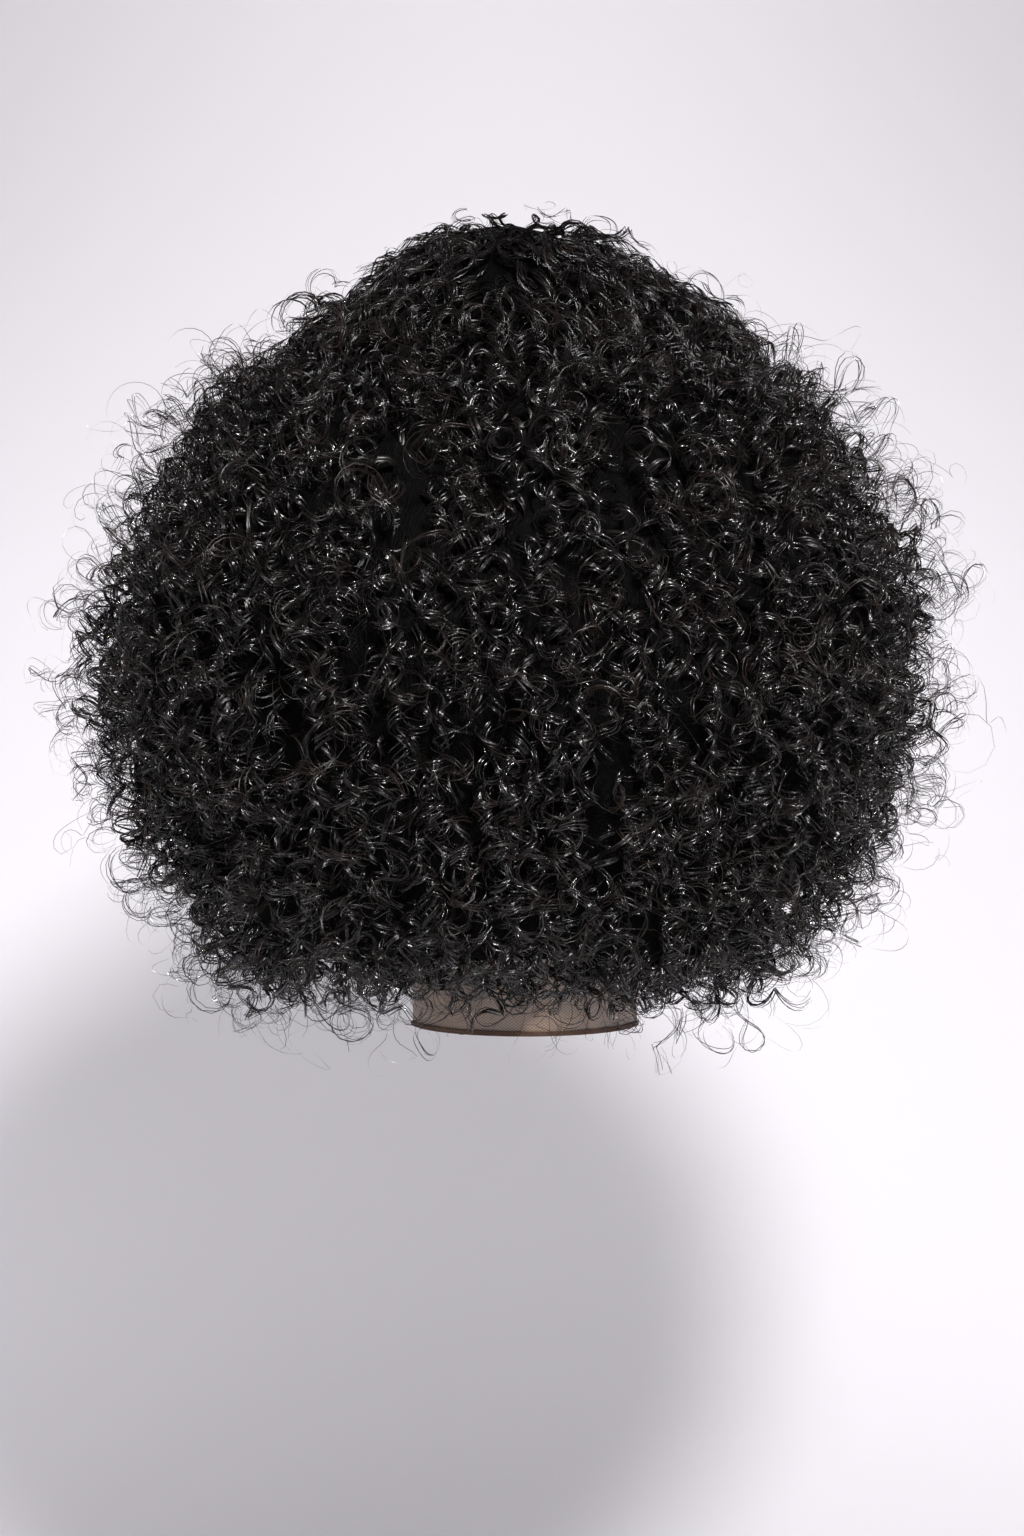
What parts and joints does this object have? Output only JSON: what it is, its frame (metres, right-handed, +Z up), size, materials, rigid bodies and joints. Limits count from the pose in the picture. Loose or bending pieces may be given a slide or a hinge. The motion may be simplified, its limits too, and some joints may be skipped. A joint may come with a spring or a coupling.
{
  "type": "lace front wig",
  "caption": "Round, full wig of tight curls with a sheer lace hairline and a net nape panel, worn over a head.",
  "frame": {"origin": "the highest point of the inside of the cap, where it sits on the crown of the head", "axes": "+Z up, +Y towards the front hairline and the face, +X towards the wearer's right, so -Y is the back"},
  "size_m": [0.4349, 0.4006, 0.4037],
  "materials": {
    "hair": "near-black curled fibre with a soft shine",
    "cap_net": "matt dark brown stretch net",
    "front_lace": "sheer beige lace",
    "nape_net": "open beige net with brown threads",
    "hem_tape": "stitched brown tape"
  },
  "bodies": {
    "root": {"hair": "hair", "cap": "cap_net", "lace_front": "front_lace", "nape_lace": "nape_net", "nape_hem": "hem_tape"}
  },
  "joints": []
}
